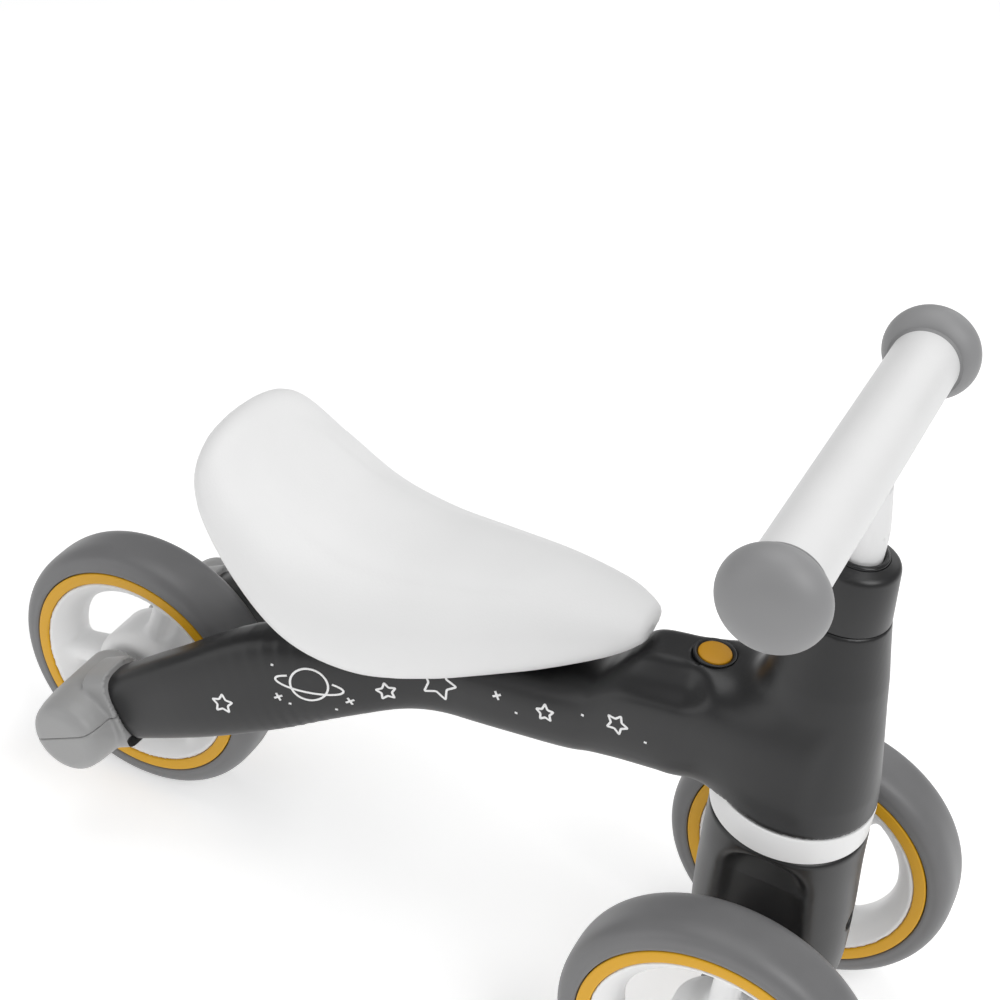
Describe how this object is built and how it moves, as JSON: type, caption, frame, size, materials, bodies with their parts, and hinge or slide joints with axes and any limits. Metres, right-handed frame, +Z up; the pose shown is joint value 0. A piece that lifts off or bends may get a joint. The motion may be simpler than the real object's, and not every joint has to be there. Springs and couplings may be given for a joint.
{
  "type": "balance bike",
  "caption": "Toddler ride-on with a moulded beam frame, padded saddle, two front wheels on a steering fork and one rear wheel between forked tail arms.",
  "frame": {"origin": "on the floor under the middle of the bike's bounding box", "axes": "+X forwards towards the front wheels, +Y to the rider's left, +Z up"},
  "size_m": [0.51, 0.234, 0.3718],
  "materials": {
    "eva_grey": "soft satin foam rubber",
    "white_plastic": "satin white moulded polypropylene",
    "yellow_plastic": "satin yellow moulded plastic",
    "grey_plastic": "satin grey moulded plastic",
    "black_plastic": "satin black moulded polypropylene",
    "seat_skin": "soft white skinned polyurethane foam with a fine grain",
    "bush_plastic": "natural acetal",
    "steel": "zinc-plated steel"
  },
  "bodies": {
    "frame": {"main_frame": "black_plastic", "belly_cover": "black_plastic", "cover_screws": "steel", "head_cap": "black_plastic", "collar_ring": "black_plastic", "upper_bush": "bush_plastic", "lower_bush": "bush_plastic", "seat_base": "black_plastic", "seat_cushion": "seat_skin", "seat_bolts": "steel", "button_bezel": "black_plastic", "button_spring": "steel", "bracket_upper_left": "grey_plastic", "bracket_lower_left": "grey_plastic", "bracket_upper_right": "grey_plastic", "bracket_lower_right": "grey_plastic", "bracket_screws": "steel", "rear_axle": "steel", "rear_axle_nuts": "steel", "rear_spacers": "bush_plastic"},
    "rear_wheel": {"rear_tyre": "eva_grey", "rear_rim": "white_plastic", "rear_trim_rings": "yellow_plastic", "rear_bushes": "bush_plastic"},
    "steerer": {"fork": "black_plastic", "lower_ring": "white_plastic", "stop_pin": "steel", "steering_tube": "steel", "tube_bolt": "steel", "stem": "white_plastic", "stem_screw": "steel", "handlebar_core": "steel", "handlebar_sleeve": "white_plastic", "grip_ball_left": "grey_plastic", "grip_ball_right": "grey_plastic", "front_axle": "steel", "front_axle_nuts": "steel", "front_washers": "steel"},
    "front_wheel_left": {"front_left_tyre": "eva_grey", "front_left_rim": "white_plastic", "front_left_trim_rings": "yellow_plastic", "front_left_bushes": "bush_plastic", "front_left_hub_cap": "white_plastic"},
    "front_wheel_right": {"front_right_tyre": "eva_grey", "front_right_rim": "white_plastic", "front_right_trim_rings": "yellow_plastic", "front_right_bushes": "bush_plastic", "front_right_hub_cap": "white_plastic"},
    "seat_button": {"release_button": "yellow_plastic"}
  },
  "joints": [
    {"name": "steering", "type": "hinge", "parent": "frame", "child": "steerer", "pos_m": [0.1736, 0, 0.2], "axis": [0, 0, 1], "range_deg": [-67.5, 67.5]},
    {"name": "rear_wheel_spin", "type": "hinge", "parent": "frame", "child": "rear_wheel", "pos_m": [-0.18, 0, 0.075], "axis": [0, 1, 0], "continuous": true},
    {"name": "front_left_wheel_spin", "type": "hinge", "parent": "steerer", "child": "front_wheel_left", "pos_m": [0.18, 0.0705, 0.075], "axis": [0, 1, 0], "continuous": true},
    {"name": "front_right_wheel_spin", "type": "hinge", "parent": "steerer", "child": "front_wheel_right", "pos_m": [0.18, -0.0705, 0.075], "axis": [0, 1, 0], "continuous": true},
    {"name": "release_button_press", "type": "slide", "parent": "frame", "child": "seat_button", "axis": [0, 0, -1], "range_m": [0, 0.003], "stiffness_N_per_m": 800, "deforming": ["button_spring"]}
  ]
}
